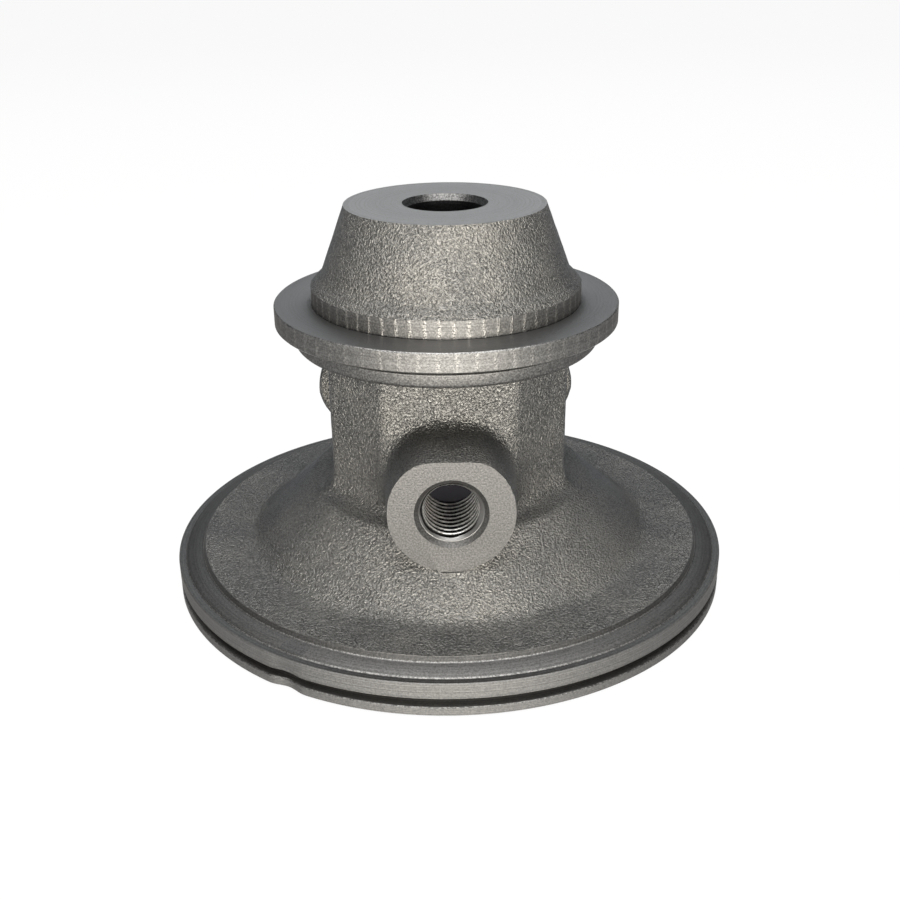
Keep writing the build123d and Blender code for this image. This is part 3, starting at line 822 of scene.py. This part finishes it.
def make_rim():
    """Turned compressor-side disc with its groove, ledge and lip."""
    land, seat, edge = range(3)
    # Faces listed as edge are chamfers in a lighter finish, a painted highlight along the edges.
    outline = [
        (RECESS_R + 0.3, 0.0, land), (56.75, 0.0, land),
        (56.98, 0.22, edge), (56.98, 1.67, land), (56.80, 1.85, edge),
        (54.4, 1.85, land), (54.4, 3.45, land), (56.76, 3.45, land),
        (56.98, 3.67, edge), (56.98, 6.58, land), (56.80, 6.75, land),
        (55.58, 6.75, seat), (55.36, 6.94, edge), (55.22, 7.06, seat),
        (52.30, 7.53, seat), (52.05, 7.62, seat), (51.88, 7.78, edge),
        (51.56, 8.38, seat), (51.46, 8.46, seat), (51.2, 8.46, seat),
        (51.2, 8.0, land), (RECESS_R, 8.0, land), (RECESS_R, 2.8, land),
        (RECESS_R + 1.3, 2.8, land), (RECESS_R + 1.3, 1.2, land),
        (RECESS_R, 1.2, land), (RECESS_R, 0.3, land),
    ]
    piece = turned_piece("housing_rim", outline, (rim_iron, seat_iron, edge_iron), 720)
    sink_notch(piece.data)
    finish_piece(piece)


def sink_notch(mesh):
    """Soft locating notch in the edge, deep in the lower land and fading in the upper one."""
    for point in mesh.vertices:
        radius = math.hypot(point.co.x, point.co.y)
        if radius < NOTCH_INNER_R:
            continue
        away = abs(math.atan2(point.co.y, point.co.x) - NOTCH_ANGLE) * radius / NOTCH_HALF_W
        if away >= 1.0:
            continue
        rise = max(0.0, point.co.z - NOTCH_FULL_Z)
        fade = max(0.0, 1.0 - rise / NOTCH_FADE)
        sink = NOTCH_DEPTH * fade * (0.5 + 0.5 * math.cos(math.pi * away))
        point.co.x *= (radius - sink) / radius
        point.co.y *= (radius - sink) / radius


def make_clamp_flange():
    """Turned clamp flange between neck ring and nose, with the undercut at the pilot's foot."""
    cone, neck, top, edge, dark, side = range(6)
    # Faces listed as dark get the near-black bore finish, painted shade in the groove under the flange and
    # at the pilot's foot; faces listed as edge get the lighter chamfer finish, a painted highlight.
    outline = [
        (24.0, 49.9, cone), (29.25, 49.9, cone), (29.65, 50.0, neck), (29.93, 50.3, neck),
        (30.05, 50.7, neck), (30.05, 52.55, neck), (29.85, 52.65, neck), (29.85, 52.8, dark),
        (30.1, 52.9, dark), (33.55, 54.15, cone), (33.8, 54.4, cone), (33.8, 57.8, side),
        (33.6, 58.0, edge), (26.9, 58.0, top), (26.5, 57.85, edge), (26.25, 57.85, dark),
        (26.25, 60.0, cone), (24.0, 60.0, cone),
    ]
    finishes = (turned_iron, neck_iron, flange_iron, edge_iron, shaded_bore_iron, flange_edge_iron)
    finish_piece(turned_piece("housing_clamp_flange", outline, finishes, 320))


def make_thread(name, sleeve, place, material):
    """Puts a sleeve of thread in its hole."""
    sleeve.transform(place)
    fix_normals(sleeve)
    sleeve.materials.append(material)
    finish_piece(new_object(name, sleeve), 60.0)


def make_threads():
    """Threads of the oil inlet and the two drain bolt holes."""
    name = "inlet_thread"
    sleeve = threaded_bore(name, THREAD_WALL_R, THREAD_CREST_R, THREAD_PITCH, THREAD_END, CHAMFER_DEPTH)
    make_thread(name, sleeve, along_y(0, -INLET_FACE, INLET_Z), inlet_thread_iron)
    inset = 0.05
    for side, word in BOLT_SIDES.items():
        name = f"drain_thread_{word}"
        sleeve = threaded_bore(name, BOLT_ROOT_R, BOLT_CREST_R, BOLT_PITCH, DRAIN_PLATE - inset, inset, 64)
        make_thread(name, sleeve, along_y(*bolt_hole(side)), bolt_thread_iron[side])


def paint(nodes, material):
    """Gives CAD nodes a finished material."""
    for name in nodes:
        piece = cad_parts[name]
        for place in piece.material_slots:
            place.material = material


cast_iron = cast_iron_material()
turned_iron = turned_iron_material("turned_iron", (0.10, 0.145, 0.20), 0.46)
pilot_iron = turned_iron_material(
    "pilot_iron", (0.061, 0.096, 0.14), 0.52, lining=0.3, ridges=0.9, edge=0.45
)
flange_edge_iron = turned_iron_material(
    "flange_edge_iron", (0.075, 0.112, 0.154), 0.54, lining=0.3, ridges=0.35, edge=0.4
)
rim_iron = turned_iron_material("rim_iron", (0.085, 0.125, 0.17), 0.54, lining=0.6, edge=0.4)
faced_iron = turned_iron_material("faced_iron", (0.205, 0.247, 0.284), 0.48)
flange_iron = turned_iron_material("flange_iron", (0.125, 0.155, 0.185), 0.42)
spot_faced_iron = turned_iron_material("spot_faced_iron", (0.062, 0.084, 0.11), 0.50, lining=0.15)
neck_iron = turned_iron_material("neck_iron", (0.058, 0.10, 0.15), 0.54, lining=0.2, edge=0.5)
seat_iron = turned_iron_material("seat_iron", (0.05, 0.075, 0.10), 0.50)
# Near-black bore finish: painted shade inside the seal bore and in the clamp flange's undercuts.
shaded_bore_iron = turned_iron_material("shaded_bore_iron", (0.006, 0.010, 0.018), 0.5)
mouth_iron = turned_iron_material("mouth_iron", (0.07, 0.13, 0.20), 0.38, lining=0.0)
# Lighter chamfer finish: painted highlight along the edges of the rim and the clamp flange.
edge_iron = turned_iron_material("edge_iron", (0.07, 0.14, 0.23), 0.46, lining=0.2)
inlet_thread_iron = thread_material(
    "inlet_thread_iron", (0.0, -INLET_FACE, INLET_Z), THREAD_CREST_R, THREAD_WALL_R, CHAMFER_R
)
bolt_thread_iron = {
    side: thread_material(
        f"bolt_thread_iron_{word}", bolt_hole(side), BOLT_CREST_R, BOLT_ROOT_R, BOLT_ROOT_R
    )
    for side, word in BOLT_SIDES.items()
}
# Near-black finish: painted shade at the bottom of the inlet hole.
painted_hole_shade = painted_hole_shade_material()
make_casting()
make_rim()
make_clamp_flange()
make_threads()

bronze = metal_material("bearing_bronze", 0.55, 0.32, (1.0, 0.72, 0.42))
spring_steel = metal_material("spring_steel", 0.16, 0.36)
ground_steel = metal_material("ground_steel", 0.55, 0.22)
sheet_steel = metal_material("sheet_steel", 0.42, 0.38)
alloy = metal_material("insert_alloy", 0.62, 0.34, (0.98, 0.99, 1.0))
rubber = rubber_material()
paint(["turbine_journal_bearing", "compressor_journal_bearing", "thrust_bearing"], bronze)
paint(["turbine_outer_circlip", "turbine_inner_circlip", "compressor_inner_circlip"], spring_steel)
paint(["compressor_outer_circlip", "slinger_ring_seal", "insert_retaining_ring"], spring_steel)
paint(["thrust_bearing_dowels", "inner_thrust_washer", "thrust_collar", "oil_slinger"], ground_steel)
paint(["oil_baffle"], sheet_steel)
paint(["oil_seal_insert"], alloy)
paint(["insert_o_ring"], rubber)


# Floor, lights and camera

def floor_material():
    """Pale floor that the camera and mirrors see as white, with the object's shadow kept."""
    material, tree = new_material("pale_floor")
    seen = tree.add("ShaderNodeLightPath", output="Is Camera Ray")
    seen = seen + tree.add("ShaderNodeLightPath", output="Is Glossy Ray")
    seen = seen + tree.add("ShaderNodeLightPath", output="Is Transmission Ray")
    seen = tree.least(seen, 1.0)
    glow_share = 0.94
    matt = tree.add("ShaderNodeBsdfDiffuse", {}, {"Color": (0.8, 0.8, 0.8, 1.0)})
    glow = tree.add("ShaderNodeEmission", {}, {"Color": (1.0, 1.0, 1.0, 1.0), "Strength": 1.0})
    shader = tree.add("ShaderNodeMixShader", {}, {0: seen * glow_share, 1: matt, 2: glow})
    tree.add("ShaderNodeOutputMaterial", {}, {"Surface": shader})
    return material


def make_floor():
    """Wide floor just under the part, in metres."""
    half, level = 6.0, -0.0002
    corners = [(-half, -half, level), (half, -half, level), (half, half, level), (-half, half, level)]
    mesh = bpy.data.meshes.new("floor")
    mesh.from_pydata(corners, [], [(0, 1, 2, 3)])
    mesh.materials.append(floor_material())
    floor = new_object("floor", mesh)


def area_light(name, place, target, width, height, power, tint):
    """Lamp that lights the part without being seen itself, in metres and watts."""
    data = bpy.data.lights.new(name, "AREA")
    data.shape = "RECTANGLE"
    data.size = width
    data.size_y = height
    data.energy = power
    data.color = tint
    lamp = new_object(name, data)
    lamp.visible_camera = False
    lamp.location = place
    lamp.rotation_euler = (Vector(target) - Vector(place)).to_track_quat("-Z", "Y").to_euler()


def make_world():
    """Faint cool surroundings."""
    world = bpy.data.worlds.new("studio")
    bpy.context.scene.world = world
    world.use_nodes = True
    world.node_tree.nodes.clear()
    tree = Tree(world.node_tree)
    sky = tree.add("ShaderNodeBackground", {}, {"Color": (0.9, 0.95, 1.0, 1.0), "Strength": 0.10})
    tree.add("ShaderNodeOutputWorld", {}, {"Surface": sky})


def make_camera():
    """Camera at the photograph's viewpoint."""
    level = math.cos(CAMERA_PITCH)
    ahead = Vector((math.sin(CAMERA_YAW) * level, math.cos(CAMERA_YAW) * level, -math.sin(CAMERA_PITCH)))
    right = Vector((math.cos(CAMERA_YAW), -math.sin(CAMERA_YAW), 0.0))
    above = right.cross(ahead)
    right, above = (
        right * math.cos(CAMERA_ROLL) - above * math.sin(CAMERA_ROLL),
        right * math.sin(CAMERA_ROLL) + above * math.cos(CAMERA_ROLL),
    )
    data = bpy.data.cameras.new("camera")
    data.sensor_width = SENSOR_WIDTH
    data.lens = SENSOR_WIDTH * FOCAL_PIXELS / PHOTO_PIXELS
    data.clip_start = 0.01
    camera = new_object("camera", data)
    turn = Matrix((right, above, -ahead)).transposed().to_4x4()
    camera.matrix_world = Matrix.Translation(Vector(CAMERA_PLACE) * MM) @ turn
    bpy.context.scene.camera = camera


make_floor()
area_light(
    "front_light", place=(0.01, -0.80, 0.055), target=(0.0, 0.0, 0.045),
    width=0.95, height=0.10, power=25.0, tint=(1.0, 0.94, 0.84),
)
area_light(
    "high_light", place=(0.0, -0.16, 0.76), target=(0.0, 0.0, 0.03),
    width=0.8, height=0.5, power=10.5, tint=(1.0, 0.98, 0.95),
)
area_light(
    "back_light", place=(0.0, 0.72, 0.72), target=(0.0, 0.0, 0.05),
    width=1.2, height=0.4, power=4.0, tint=(0.93, 0.97, 1.0),
)
make_world()
bpy.context.scene.view_settings.view_transform = "Standard"
make_camera()
